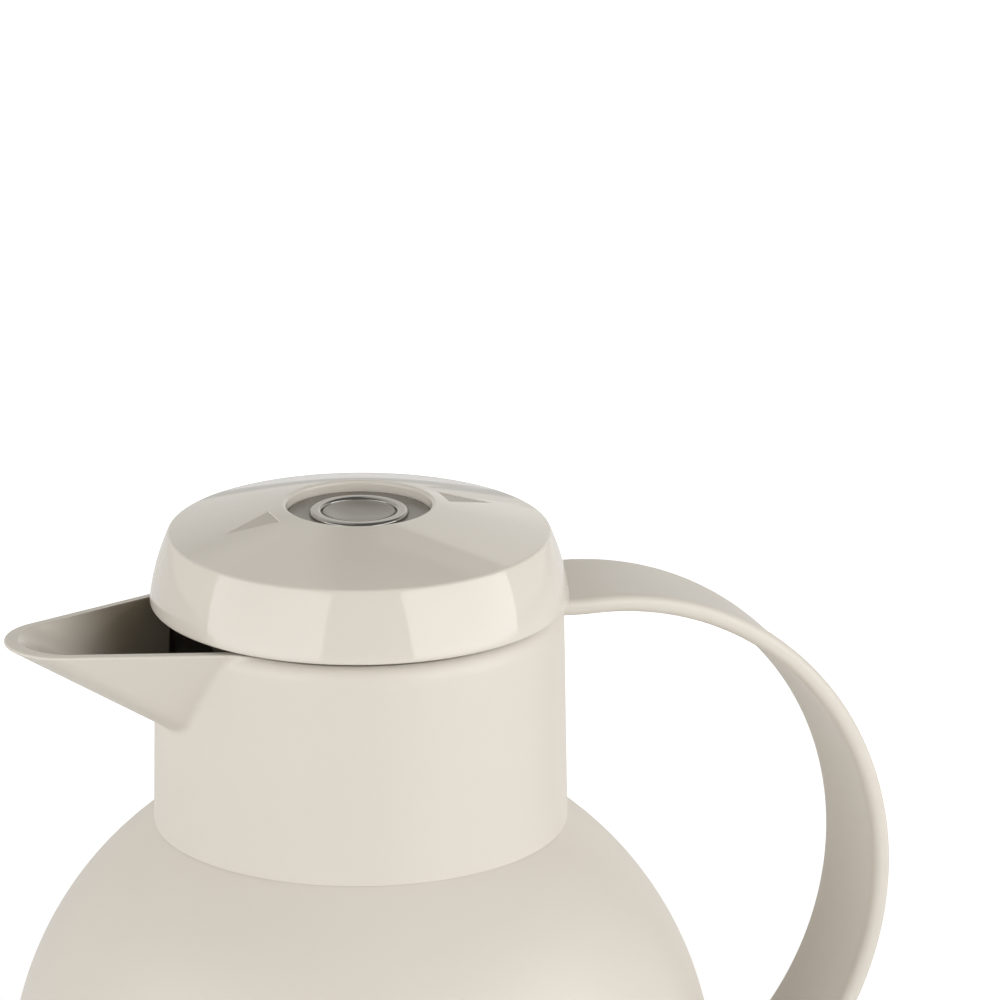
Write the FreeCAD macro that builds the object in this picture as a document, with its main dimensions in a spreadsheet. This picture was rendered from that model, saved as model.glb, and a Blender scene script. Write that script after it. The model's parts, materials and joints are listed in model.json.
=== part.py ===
import FreeCAD, Part
import math
import os
from types import SimpleNamespace

import Sketcher

# Insulated ball jug with a double-walled glass flask, a screw-in lid and a push-button pour valve.
# Millimetres. The origin is on the jug's axis in the plane it stands on, +Z up, +X to the handle,
# -X to the spout.

# Driving dimensions: name, value, what it measures.
DRIVING = [
    ("ball_radius", 75.0, "outside of the ball"),
    ("base_radius", 42.2, "circle where the ball is cut off flat"),
    ("shell_wall", 3.0, "wall of the ball"),
    ("seam_lap", 4.0, "height of the lap between the two half shells"),
    ("jacket_gap", 4.0, "air between shell and flask"),
    ("seam_gap", 0.1, "glue gap between fixed mouldings"),
    ("flask_mouth", 28.9, "inside of the flask's mouth"),
    ("glass_wall", 1.8, "each wall of the flask"),
    ("vacuum_gap", 3.7, "space between the flask's walls"),
    ("flask_flat", 24.0, "radius of the flask's flat bottom"),
    ("flask_clearance", 1.1, "flask neck to the shell's neck"),
    ("spigot_wall", 2.35, "shell's neck inside the collar"),
    ("spigot_gap", 0.15, "shell's neck to the collar"),
    ("neck_wall", 3.0, "wall of the neck collar at its top"),
    ("neck_flare", 0.75, "how much wider the collar is at the ball"),
    ("neck_height", 46.84, "collar from the ball to its rim"),
    ("neck_edge_height", 3.6, "rounded rim of the collar, height"),
    ("neck_edge_depth", 2.0, "rounded rim of the collar, depth"),
    ("mouth_depth", 36.0, "collar rim down to the flask's lip"),
    ("gasket_height", 2.2, "gasket on the flask's lip"),
    ("pour_step", 3.1, "pour ring bore past the flask's mouth"),
    ("pour_seat_height", 9.8, "pour ring up to its washer seat"),
    ("pour_slope", 2.2, "rise of the pour ring to the collar"),
    ("collar_seal_wire", 1.1, "section radius of the collar's seal ring"),
    ("spout_reach", 78.1, "axis to the spout's tip"),
    ("spout_nose", 12.5, "radius of the spout's tip seen from above"),
    ("spout_angle", 18.0, "degrees from the spout's middle to its side"),
    ("spout_slope", 32.0, "degrees of the spout's keel"),
    ("spout_lip", 2.4, "wall of the spout along its sides"),
    ("spout_tip_lip", 4.0, "wall of the spout at its tip"),
    ("spout_fillet", 2.0, "rounding where the spout leaves the neck"),
    ("rim_edge", 0.4, "rounding of the rim's outer edge, round neck and spout"),
    ("mouth_edge", 0.5, "rounding of the rim's inner edge, round bore and channel"),
    ("handle_centre", 47.45, "axis to the centre of the handle's arc"),
    ("handle_radius", 68.9, "outside of the handle's arc"),
    ("handle_drop", 0.3, "collar rim down to the handle's top"),
    ("handle_thickness", 3.9, "handle at its beaded edges"),
    ("handle_width", 28.0, "handle from edge to edge"),
    ("handle_bead", 3.2, "width of the bead along each edge"),
    ("handle_hollow", 0.35, "depth of the hollow between the beads"),
    ("handle_edge", 1.7, "rounding of the beads"),
    ("tenon_width", 16.0, "tongue at the handle's ends, width"),
    ("tenon_depth", 1.6, "tongue at the handle's ends, into the wall"),
    ("foot_ring_height", 1.3, "non-slip ring"),
    ("foot_ring_width", 5.0, "non-slip ring, across its band"),
    ("foot_proud", 0.8, "non-slip ring below the base cap"),
    ("cap_plate", 1.8, "plate of the base cap"),
    ("cap_wall", 2.4, "threaded wall of the base cap"),
    ("cap_seal", 0.8, "seal between base cap and shell"),
    ("cap_thread_gap", 0.4, "base cap to the shell's collar"),
    ("cap_slot_length", 36.0, "coin slot of the base cap"),
    ("cap_slot_width", 4.0, "coin slot of the base cap"),
    ("shell_collar_wall", 2.5, "shell's collar for the base cap"),
    ("cushion_height", 7.4, "rubber support under the flask"),
    ("cushion_bore", 8.0, "hole for the flask's sealed tip"),
    ("lid_gap", 1.1, "collar rim to the lid"),
    ("lid_overhang", 1.17, "lid past the collar"),
    ("lid_side", 15.0, "height of the lid's side"),
    ("lid_taper", 4.05, "how much narrower the side is at its top"),
    ("lid_side_arc", 49.0, "radius of the lid's curved side"),
    ("lid_cone", 6.2, "rise of the lid's top to the button"),
    ("lid_wall", 2.2, "wall of the lid"),
    ("lid_edge", 0.9, "rounding of the lid's shoulder"),
    ("lid_rim_edge", 0.7, "rounding of the lid's rim"),
    ("lid_hole", 15.15, "hole for the button"),
    ("lid_hole_edge", 0.8, "rounding of that hole"),
    ("lid_sleeve", 11.3, "guide sleeve of the button"),
    ("lid_sleeve_wall", 1.75, "wall of that sleeve"),
    ("flange_rise", 1.5, "lid rim up to the stopper's flange"),
    ("flange_height", 2.4, "stopper's flange"),
    ("thread_gap", 0.8, "stopper barrel to the pour ring"),
    ("barrel_wall", 2.4, "wall of the stopper"),
    ("stopper_reach", 5.0, "stopper below the flask's lip"),
    ("stopper_gap", 1.3, "stopper to the flask's mouth"),
    ("stopper_plate", 2.5, "valve plate of the stopper"),
    ("shoulder_gap", 0.3, "stopper's shoulder over the lip gasket"),
    ("groove_depth", 1.9, "groove for the stopper's gasket"),
    ("groove_height", 3.0, "groove for the stopper's gasket"),
    ("soft_gap", 0.3, "soft lips to the glass"),
    ("run_gap", 0.15, "pieces that turn or slide on each other"),
    ("deck_drop", 4.0, "collar rim down to the stopper's deck"),
    ("deck_height", 4.0, "thickness of that deck"),
    ("window_height", 10.5, "pour windows of the stopper"),
    ("window_width", 30.0, "pour windows of the stopper"),
    ("washer_height", 1.5, "washer on the pour ring"),
    ("washer_width", 4.8, "washer on the pour ring"),
    ("stem_radius", 3.0, "valve stem"),
    ("stem_fit", 0.08, "valve stem in its bore"),
    ("stem_end", 2.0, "threaded end of the valve stem"),
    ("stem_seal_width", 1.9, "seal round the stem"),
    ("stem_seal_height", 2.0, "seal round the stem"),
    ("valve_opening", 19.0, "opening in the stopper's valve plate"),
    ("valve_margin", 3.0, "valve disc past that opening"),
    ("valve_height", 2.2, "valve disc"),
    ("valve_seal", 1.0, "soft ring on the valve disc"),
    ("nut_width", 7.0, "nut under the valve disc, across flats"),
    ("nut_height", 2.9, "nut under the valve disc"),
    ("button_recess", 2.7, "hole rim down to the button"),
    ("button_gap", 0.3, "button to the lid's hole"),
    ("button_skirt", 1.65, "wall of the button's skirt"),
    ("button_plate", 2.0, "top of the button"),
    ("button_travel", 4.0, "way the button is pressed in"),
    ("button_flange", 1.75, "stop flange past the button"),
    ("button_flange_height", 1.6, "stop flange"),
    ("stop_gap", 0.05, "stop flange to the sleeve"),
    ("button_ring_radius", 9.1, "trim ring on the button, middle of its band"),
    ("button_ring_width", 2.6, "trim ring, across its band"),
    ("button_ring_height", 0.9, "trim ring, over the button"),
    ("boss_wall", 2.0, "button's boss round the stem"),
    ("boss_shoulder", 2.0, "shoulder of the boss over the rotor"),
    ("boss_floor_gap", 1.9, "boss to the deck with the button down"),
    ("boss_end", 0.7, "boss below its clip"),
    ("clip_height", 0.6, "clip under the rotor"),
    ("clip_groove", 0.7, "groove for that clip"),
    ("clip_width", 2.2, "clip, across its band"),
    ("rotor_height", 3.6, "latch rotor"),
    ("sleeve_gap", 1.2, "latch sleeve to the button's skirt"),
    ("sleeve_wall", 1.8, "latch sleeve"),
    ("sleeve_top", 1.4, "latch sleeve past the boss's shoulder"),
    ("rotor_gap", 0.4, "latch rotor to its sleeve"),
    ("lug_width", 3.0, "latch lugs"),
    ("lug_height", 2.6, "latch lugs"),
    ("lug_turn", 30.0, "degrees the rotor turns as the button goes down"),
    ("slot_gap", 0.5, "latch lugs in their slots"),
    ("spring_offset", 1.0, "button's skirt to the middle of the spring's wire"),
    ("spring_wire", 1.1, "wire of the return spring"),
    ("spring_end_gap", 0.05, "return spring to its seats"),
]
TOUCH = 0.01
LATCH_LUGS = 3
SPRING_TURNS = 4
ARCS_PER_TURN = 4
HANDLE_SWEEP_UP = 105.0
HANDLE_SWEEP_DOWN = 110.0

doc = FreeCAD.newDocument("ball_jug")
sheet = doc.addObject("Spreadsheet::Sheet", "sizes")
for row, (name, value, meaning) in enumerate(DRIVING, start=1):
    sheet.set(f"A{row}", name)
    sheet.set(f"B{row}", str(value))
    sheet.setAlias(f"B{row}", name)
    sheet.set(f"C{row}", meaning)
doc.recompute()


class Size:
    """A length or angle that keeps its expression beside its value."""

    def __init__(self, text, value):
        self.text = text
        self.value = value

    def __add__(self, other):
        other = as_size(other)
        return Size(f"({self.text} + {other.text})", self.value + other.value)

    def __sub__(self, other):
        other = as_size(other)
        return Size(f"({self.text} - {other.text})", self.value - other.value)

    def __mul__(self, other):
        other = as_size(other)
        return Size(f"({self.text} * {other.text})", self.value * other.value)

    def __truediv__(self, other):
        other = as_size(other)
        return Size(f"({self.text} / {other.text})", self.value / other.value)

    def __neg__(self):
        return Size(f"(-{self.text})", -self.value)


def as_size(value):
    return value if isinstance(value, Size) else Size(f"{value:g}", float(value))


def root(size):
    return Size(f"sqrt({size.text})", math.sqrt(size.value))


def sine(angle):
    return Size(f"sin({angle.text})", math.sin(math.radians(angle.value)))


def cosine(angle):
    return Size(f"cos({angle.text})", math.cos(math.radians(angle.value)))


def leg(hypotenuse, other):
    return root(hypotenuse * hypotenuse - other * other)


S = SimpleNamespace(**{name: Size(f"sizes.{name}", float(sheet.get(name))) for name, value, meaning in DRIVING})
nodes = {}


# Sketching and feature helpers

def new_body(label):
    body = doc.addObject("PartDesign::Body", label)
    body.Label = label
    return body


def new_sketch(body, name, role, x=None, z=None):
    """A sketch on one of the body's origin planes, moved by x along the plane and z off it."""
    sketch = body.newObject("Sketcher::SketchObject", name)
    plane = [feature for feature in body.Origin.OriginFeatures if feature.Role == role][0]
    sketch.AttachmentSupport = [(plane, "")]
    sketch.MapMode = "FlatFace"
    if x is not None:
        sketch.setExpression("AttachmentOffset.Base.x", x.text)
    if z is not None:
        sketch.setExpression("AttachmentOffset.Base.z", z.text)
    return sketch


def arc_between(start, end, radius, side):
    """The shorter arc from start to end; side 1 bulges to the right of the way, -1 to the left."""
    chord = end - start
    normal = FreeCAD.Vector(-chord.y, chord.x, 0).normalize()
    middle = (start + end) * 0.5
    centre = middle + normal * side * math.sqrt(max(radius ** 2 - (chord.Length / 2) ** 2, 0.0))
    circle = Part.Circle(centre, FreeCAD.Vector(0, 0, 1), radius)
    first, last = (start, end) if side > 0 else (end, start)
    angle_from = math.atan2(first.y - centre.y, first.x - centre.x)
    angle_to = math.atan2(last.y - centre.y, last.x - centre.x)
    return Part.ArcOfCircle(circle, angle_from, angle_to)


def outline(sketch, corners, arcs=None):
    """A closed outline; the side from corner i is a line, or an arc where arcs[i] is (radius, side)."""
    arcs = arcs or {}
    corners = [(as_size(x), as_size(y)) for x, y in corners]
    places = [FreeCAD.Vector(x.value, y.value, 0) for x, y in corners]
    ends = []
    for index, start in enumerate(places):
        end = places[(index + 1) % len(places)]
        if index in arcs:
            radius, side = arcs[index]
            sketch.addGeometry(arc_between(start, end, radius.value, side), False)
            ends.append((1, 2) if side > 0 else (2, 1))
        else:
            sketch.addGeometry(Part.LineSegment(start, end), False)
            ends.append((1, 2))
    rules = []
    bound = {}
    for index, corner in enumerate(corners):
        following = (index + 1) % len(corners)
        rules.append(Sketcher.Constraint("Coincident", index, ends[index][1], following, ends[following][0]))
        for kind, axis, size in (("DistanceX", -2, corner[0]), ("DistanceY", -1, corner[1])):
            point = (index, ends[index][0])
            if size.text == "0":
                rules.append(Sketcher.Constraint("PointOnObject", *point, axis))
                continue
            bound[len(rules)] = size if size.value > 0 else -size
            pair = (-1, 1, *point) if size.value > 0 else (*point, -1, 1)
            rules.append(Sketcher.Constraint(kind, *pair, abs(size.value)))
        if index in arcs:
            bound[len(rules)] = arcs[index][0]
            rules.append(Sketcher.Constraint("Radius", index, arcs[index][0].value))
    sketch.addConstraint(rules)
    for index, size in bound.items():
        sketch.setExpression(f"Constraints[{index}]", size.text)
    return sketch


def turned(body, name, corners, arcs=None, cut=False):
    """Turn a profile of (radius, height) corners about the body's Z axis."""
    sketch = outline(new_sketch(body, name + "_profile", "XZ_Plane"), corners, arcs)
    feature = body.newObject("PartDesign::Groove" if cut else "PartDesign::Revolution", name)
    feature.Profile = sketch
    feature.ReferenceAxis = (sketch, ["V_Axis"])
    feature.Angle = 360
    return feature


def turned_piece(label, corners, arcs=None):
    body = new_body(label)
    turned(body, label + "_turned", corners, arcs)
    nodes[label] = body
    return body


def ring(label, inner, outer, low, high):
    """A plain turned ring between two radii and two heights."""
    return turned_piece(label, [(inner, low), (outer, low), (outer, high), (inner, high)])


def rounded_where(body, name, radius, wanted):
    """Round the edges that the test picks out of the body's last shape."""
    doc.recompute()
    base = body.Tip
    picked = [f"Edge{index}" for index, edge in enumerate(base.Shape.Edges, start=1) if wanted(edge)]
    feature = body.newObject("PartDesign::Fillet", name)
    feature.Base = (base, picked)
    feature.setExpression("Radius", radius.text)
    return feature


def rounded(body, name, radius, across, height):
    """Round the circular edge of the given radius and height."""
    def lies_there(edge):
        if not isinstance(edge.Curve, Part.Circle):
            return False
        return (abs(edge.Curve.Radius - across.value) < TOUCH
                and abs(edge.Curve.Center.z - height.value) < TOUCH)

    return rounded_where(body, name, radius, lies_there)


def pocket(body, name, sketch, length=None, reverse=False, through=False):
    """Cut a sketch out of the body, by a length to one side or through it both ways."""
    doc.recompute()
    before = body.Shape.Volume
    feature = body.newObject("PartDesign::Pocket", name)
    feature.Profile = sketch
    if through:
        feature.Type = "ThroughAll"
        feature.SideType = "Symmetric"
    else:
        feature.setExpression("Length", length.text)
        feature.Reversed = reverse
    doc.recompute()
    if not body.Shape.Volume < before - 0.1:
        raise RuntimeError(name + " cuts nothing")
    return feature


def rectangle(low_x, low_y, high_x, high_y):
    return [(low_x, low_y), (high_x, low_y), (high_x, high_y), (low_x, high_y)]


# Heights and radii that several pieces share

ball_inside = S.ball_radius - S.shell_wall
ball_height = leg(S.ball_radius, S.base_radius)

flask_outside = ball_inside - S.jacket_gap
inner_offset = S.glass_wall + S.vacuum_gap
flask_thickness = inner_offset + S.glass_wall
flask_neck = S.flask_mouth + flask_thickness

spigot_inside = flask_neck + S.flask_clearance
spigot_outside = spigot_inside + S.spigot_wall
collar_bore = spigot_outside + S.spigot_gap
neck_radius = collar_bore + S.neck_wall
neck_foot = neck_radius + S.neck_flare

collar_foot = ball_height + leg(S.ball_radius, neck_foot) + S.seam_gap
collar_top = collar_foot + S.neck_height
lip_top = collar_top - S.mouth_depth
pour_ring_foot = lip_top + S.gasket_height
pour_bore = S.flask_mouth + S.pour_step
pour_seat = pour_ring_foot + S.pour_seat_height

cap_bottom = S.foot_proud
cap_top = cap_bottom + S.cap_plate
shell_foot = cap_top + S.cap_seal
flask_bottom = cap_top + S.cushion_height

lid_radius = neck_radius + S.lid_overhang
lid_foot = collar_top + S.lid_gap
lid_shoulder = lid_foot + S.lid_side
shoulder_radius = lid_radius - S.lid_taper
lid_top = lid_shoulder + S.lid_cone
cone_slope = S.lid_cone / (shoulder_radius - S.lid_hole)
sleeve_foot = lid_top - S.lid_sleeve

barrel = pour_bore - S.thread_gap
barrel_inside = barrel - S.barrel_wall
stopper_low = S.flask_mouth - S.stopper_gap
stopper_foot = lip_top - S.stopper_reach
stopper_shoulder = pour_ring_foot + S.shoulder_gap
groove_radius = stopper_low - S.groove_depth
groove_foot = stopper_foot + S.stopper_plate / 2
groove_top = groove_foot + S.groove_height
flange_foot = lid_foot + S.flange_rise
flange_top = flange_foot + S.flange_height
flange_radius = lid_radius - S.lid_wall - S.soft_gap
deck_top = collar_top - S.deck_drop
deck_foot = deck_top - S.deck_height
stem_bore = S.stem_radius + S.stem_fit
stem_seal_radius = stem_bore + S.stem_seal_width

button_radius = S.lid_hole - S.button_gap
button_inside = button_radius - S.button_skirt
button_top = lid_top - S.button_recess
button_stop = sleeve_foot - S.stop_gap
button_foot = button_stop - S.button_flange_height
boss = S.stem_radius + S.boss_wall
boss_foot = deck_top + S.button_travel + S.boss_floor_gap
clip_foot = boss_foot + S.boss_end
rotor_foot = clip_foot + S.clip_height + S.run_gap
rotor_top = rotor_foot + S.rotor_height
boss_step = rotor_top + S.run_gap
sleeve_outside = button_inside - S.sleeve_gap
sleeve_inside = sleeve_outside - S.sleeve_wall
rotor_outside = sleeve_inside - S.rotor_gap
lug_foot = rotor_foot + (S.rotor_height - S.lug_height) / 2

valve_top = stopper_foot - S.valve_seal
valve_foot = valve_top - S.valve_height
valve_radius = S.valve_opening + S.valve_margin

handle_inside = S.handle_radius - S.handle_thickness
handle_height = collar_top - S.handle_drop - S.handle_radius


# The ball: two half shells that lap at the equator

def half_shells():
    seam_radius = S.ball_radius - S.shell_wall / 2
    lap_top = ball_height + S.seam_lap
    lap_room = S.seam_lap + S.seam_gap
    upper = [
        (S.ball_radius, ball_height),
        (spigot_outside, ball_height + leg(S.ball_radius, spigot_outside)),
        (spigot_outside, pour_ring_foot),
        (spigot_inside, pour_ring_foot),
        (spigot_inside, ball_height + leg(ball_inside, spigot_inside)),
        (leg(ball_inside, lap_room), lap_top + S.seam_gap),
        (seam_radius, lap_top + S.seam_gap),
        (seam_radius, ball_height),
    ]
    turned_piece("upper_shell", upper, {0: (S.ball_radius, 1), 4: (ball_inside, -1)})

    foot_drop = ball_height - shell_foot
    thread_outside = leg(ball_inside, foot_drop) + S.seam_gap
    thread_inside = thread_outside - S.shell_collar_wall
    collar_rim = flask_bottom - S.flask_clearance
    lower = [
        (leg(S.ball_radius, foot_drop), shell_foot),
        (S.ball_radius, ball_height),
        (seam_radius - S.seam_gap, ball_height),
        (seam_radius - S.seam_gap, lap_top),
        (leg(ball_inside, S.seam_lap), lap_top),
        (thread_outside, ball_height - leg(ball_inside, thread_outside)),
        (thread_outside, collar_rim),
        (thread_inside, collar_rim),
        (thread_inside, shell_foot),
    ]
    moulding = new_body("lower_moulding")
    turned(moulding, "lower_turned", lower, {0: (S.ball_radius, 1), 4: (ball_inside, -1)})
    return moulding, thread_inside, collar_rim


# The base: screw cap, its seal, the non-slip ring and the rubber support of the flask

def base_pieces(thread_inside, collar_rim):
    wall_outside = thread_inside - S.cap_thread_gap
    wall_inside = wall_outside - S.cap_wall
    rim_top = leg(S.ball_radius, ball_height - cap_top) - S.soft_gap
    rim_foot = leg(S.ball_radius, ball_height - cap_bottom) - S.soft_gap
    ring_outside = wall_outside
    ring_inside = ring_outside - S.foot_ring_width
    ring_seat = S.foot_ring_height
    cap = turned_piece("base_cap", [
        (0, cap_bottom), (ring_inside, cap_bottom), (ring_inside, ring_seat), (ring_outside, ring_seat),
        (ring_outside, cap_bottom), (rim_foot, cap_bottom), (rim_top, cap_top), (wall_outside, cap_top),
        (wall_outside, collar_rim), (wall_inside, collar_rim), (wall_inside, cap_top), (0, cap_top),
    ])
    slot = new_sketch(cap, "coin_slot", "XY_Plane", z=cap_bottom)
    half_length = S.cap_slot_length / 2
    half_width = S.cap_slot_width / 2
    outline(slot, rectangle(-half_length, -half_width, half_length, half_width))
    pocket(cap, "coin_slot_cut", slot, S.cap_plate / 2, reverse=True)
    ring("foot_ring", ring_inside, ring_outside, as_size(0), ring_seat)
    ring("base_seal", thread_inside, thread_inside + S.shell_collar_wall, cap_top, shell_foot)
    soft_step = S.cushion_height / 3
    turned_piece("support_cushion", [
        (S.cushion_bore, cap_top), (S.flask_flat, cap_top), (S.flask_flat, flask_bottom - soft_step),
        (S.flask_flat - soft_step, flask_bottom), (S.cushion_bore, flask_bottom),
    ])


# The flask: two glass walls, each the same outline drawn in by its own offset

def flask_side(offset):
    """Corners of one glass surface from the axis to the neck, with the radii of its two arcs."""
    depth = ball_height - flask_bottom
    corner = (flask_outside * flask_outside - S.flask_flat * S.flask_flat - depth * depth)
    corner = corner / ((flask_outside - depth) * 2)
    reach = (flask_outside - offset) / (flask_outside - corner)
    ball = flask_outside - offset
    neck = flask_neck - offset
    points = [
        (as_size(0), flask_bottom + offset),
        (S.flask_flat, flask_bottom + offset),
        (reach * S.flask_flat, ball_height + reach * (flask_bottom + corner - ball_height)),
        (neck, ball_height + leg(ball, neck)),
    ]
    return points, corner - offset, ball


def flask_pieces():
    inside, inside_corner, inside_ball = flask_side(flask_thickness)
    outside, outside_corner, outside_ball = flask_side(inner_offset)
    lip_foot = lip_top - S.glass_wall
    lip = [(S.flask_mouth, lip_top), (flask_neck, lip_top), (flask_neck, lip_foot),
           (flask_neck - inner_offset, lip_foot)]
    arcs = {1: (inside_corner, 1), 2: (inside_ball, 1), 8: (outside_ball, -1), 9: (outside_corner, -1)}
    turned_piece("inner_flask", inside + lip + outside[::-1], arcs)

    inside, inside_corner, inside_ball = flask_side(S.glass_wall)
    outside, outside_corner, outside_ball = flask_side(as_size(0))
    rim = [(flask_neck - S.glass_wall, lip_foot), (flask_neck, lip_foot)]
    tip_radius = S.glass_wall
    tip = [(tip_radius * 2, flask_bottom), (tip_radius, flask_bottom - tip_radius * 2),
           (as_size(0), flask_bottom - tip_radius * 2)]
    arcs = {1: (inside_corner, 1), 2: (inside_ball, 1), 6: (outside_ball, -1), 7: (outside_corner, -1)}
    turned_piece("outer_flask", inside + rim + outside[:0:-1] + tip, arcs)

    gasket_inside = S.flask_mouth + S.glass_wall
    ring("flask_gasket", gasket_inside, flask_neck + S.soft_gap, lip_top, pour_ring_foot)


# The neck: collar with its spout, the pour ring inside it and the ring's seal

def spout_outline(body, name, height, shift, nose, setback):
    """The spout seen from above: straight sides that run into a round nose, moved by shift along X."""
    centre = S.spout_nose - S.spout_reach + shift + setback
    touch_x = centre - nose * sine(S.spout_angle)
    touch_y = nose * cosine(S.spout_angle)
    root_x = shift - collar_bore / 2
    root_y = touch_y + (root_x - touch_x) * sine(S.spout_angle) / cosine(S.spout_angle)
    corners = [(touch_x, -touch_y), (root_x, -root_y), (root_x, root_y), (touch_x, touch_y)]
    return outline(new_sketch(body, name, "XY_Plane", z=height), corners, {3: (nose, 1)})


def spout_loft(body, name, nose, setback, kind):
    """The spout or its channel: the nose's centre is set back from the tip's own by setback."""
    run = S.spout_reach - collar_bore
    drop = run * sine(S.spout_slope) / cosine(S.spout_slope)
    feature = body.newObject("PartDesign::" + kind, name)
    feature.Profile = spout_outline(body, name + "_rim", collar_top, as_size(0), nose, setback)
    feature.Sections = [spout_outline(body, name + "_root", collar_top - drop, run, nose, setback)]
    feature.Ruled = True
    return feature


def rim_radius():
    height = S.neck_edge_height
    depth = S.neck_edge_depth
    return (height * height + depth * depth) / (depth * 2)


def edge_place(edge):
    """The middle of an edge: its X, its distance from the jug's axis and its height."""
    middle = edge.valueAt((edge.FirstParameter + edge.LastParameter) / 2)
    return middle.x, math.hypot(middle.x, middle.y), middle.z


def leaves_neck(edge):
    """Whether the spout's outside meets the neck's outside along this edge."""
    x, across, height = edge_place(edge)
    on_neck = collar_bore.value + TOUCH < across < neck_foot.value + TOUCH
    below_rim = height < collar_top.value - TOUCH
    return x < 0 and on_neck and below_rim and not isinstance(edge.Curve, Part.Circle)


def leaves_bore(edge):
    """Whether the spout's channel meets the bore along this edge."""
    x, across, height = edge_place(edge)
    below_rim = height < collar_top.value - TOUCH
    return x < 0 and abs(across - collar_bore.value) < TOUCH and below_rim


def rim_edges(body, outer):
    """The edges round the outside, or round the inside, of the flat rim."""
    doc.recompute()
    rim = [face for face in body.Tip.Shape.Faces if face.BoundBox.ZMin > collar_top.value - TOUCH][0]
    wires = [wire for wire in rim.Wires if wire.isSame(rim.OuterWire) == outer]
    return [edge for wire in wires for edge in wire.Edges]


def same_as_any(edge, others):
    return any(edge.isSame(other) for other in others)


def neck_collar():
    moulding = new_body("collar_moulding")
    turned(moulding, "collar_wall", [
        (collar_bore, ball_height + leg(S.ball_radius, collar_bore) + S.seam_gap),
        (neck_foot, collar_foot),
        (neck_radius, collar_top - S.neck_edge_height),
        (neck_radius - S.neck_edge_depth, collar_top),
        (collar_bore, collar_top),
    ], {2: (rim_radius(), 1)})
    spout_loft(moulding, "spout", S.spout_nose, as_size(0), "AdditiveLoft")
    turned(moulding, "collar_bore", [
        (0, collar_foot - S.neck_wall), (collar_bore, collar_foot - S.neck_wall),
        (collar_bore, collar_top + S.neck_wall), (0, collar_top + S.neck_wall),
    ], cut=True)
    setback = (S.spout_tip_lip - S.spout_lip) / (as_size(1) - sine(S.spout_angle))
    channel_nose = S.spout_nose - S.spout_tip_lip + setback
    spout_loft(moulding, "spout_channel", channel_nose, setback, "SubtractiveLoft")
    rounded_where(moulding, "spout_root_round", S.spout_fillet, leaves_neck)
    outside = rim_edges(moulding, outer=True)
    rounded_where(moulding, "rim_round", S.rim_edge, lambda edge: same_as_any(edge, outside))
    inside = rim_edges(moulding, outer=False)
    rounded_where(moulding, "mouth_round", S.mouth_edge,
                  lambda edge: same_as_any(edge, inside) or leaves_bore(edge))
    return moulding


def pour_ring():
    wire = S.collar_seal_wire
    seal_height = (pour_ring_foot + pour_seat) / 2
    groove = wire + S.run_gap
    bottom = spigot_outside - wire * 2 - S.run_gap
    turned_piece("pour_ring", [
        (pour_bore, pour_ring_foot), (spigot_outside, pour_ring_foot),
        (spigot_outside, seal_height - groove), (bottom, seal_height - groove),
        (bottom, seal_height + groove), (spigot_outside, seal_height + groove),
        (spigot_outside, pour_seat + S.pour_slope), (pour_bore + S.washer_width, pour_seat),
        (pour_bore, pour_seat),
    ])
    seal = doc.addObject("Part::Torus", "collar_seal")
    seal.setExpression("Radius1", (collar_bore - wire - S.seam_gap).text)
    seal.setExpression("Radius2", wire.text)
    seal.setExpression("Placement.Base.z", seal_height.text)
    nodes["collar_seal"] = seal


# The handle: a beaded band on one arc, let into the collar and the ball by a tongue at each end

def handle_arc(label, corners, arcs, ball_cut, neck_cut):
    """Turn a section of (arc radius, width) corners about the arc's axis and trim both its ends."""
    body = new_body(label)
    sketch = new_sketch(body, label + "_section", "XY_Plane", x=S.handle_centre, z=handle_height)
    outline(sketch, corners, arcs)
    band = body.newObject("PartDesign::Revolution", label + "_band")
    band.Profile = sketch
    band.ReferenceAxis = (sketch, ["V_Axis"])
    band.Type = "TwoAngles"
    band.Angle = HANDLE_SWEEP_DOWN
    band.Angle2 = HANDLE_SWEEP_UP
    ball = body.newObject("PartDesign::SubtractiveSphere", label + "_ball_seat")
    ball.setExpression("Radius", ball_cut.text)
    ball.setExpression("Placement.Base.z", ball_height.text)
    low = ball_height
    slope = S.neck_flare / (S.neck_height - S.neck_edge_height)
    low_radius = neck_cut + slope * (collar_top - S.neck_edge_height - low)
    rim = neck_cut - S.neck_edge_depth
    above = collar_top + S.handle_thickness
    turned(body, label + "_neck_seat", [
        (0, low), (low_radius, low), (neck_cut, collar_top - S.neck_edge_height), (rim, collar_top),
        (rim, above), (0, above),
    ], {2: (rim_radius(), 1)}, cut=True)
    return body


def handle_section():
    outer = S.handle_radius
    inner = handle_inside
    edge = S.handle_edge
    half = S.handle_width / 2
    bead = half - S.handle_bead
    web = bead - S.handle_hollow
    hollow = S.handle_hollow
    corners = [
        (outer, half - edge), (outer - edge, half), (inner + edge, half), (inner, half - edge),
        (inner, bead), (inner + hollow, web), (inner + hollow, -web), (inner, -bead),
        (inner, edge - half), (inner + edge, -half), (outer - edge, -half), (outer, edge - half),
        (outer, -bead), (outer - hollow, -web), (outer - hollow, web), (outer, bead),
    ]
    return corners, {0: (edge, 1), 2: (edge, 1), 8: (edge, 1), 10: (edge, 1)}


def tongue_section(room):
    """The tongue's section, or its mortise where room is the clearance all round."""
    half = S.tenon_width / 2 + room
    inner = handle_inside + S.handle_hollow - room
    outer = S.handle_radius - S.handle_hollow + room
    return rectangle(inner, -half, outer, half)


def joined(kind, label, base, tool):
    result = doc.addObject(kind, label)
    result.Base = base
    result.Tool = tool
    result.Label = label
    nodes[label] = result
    return result


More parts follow.
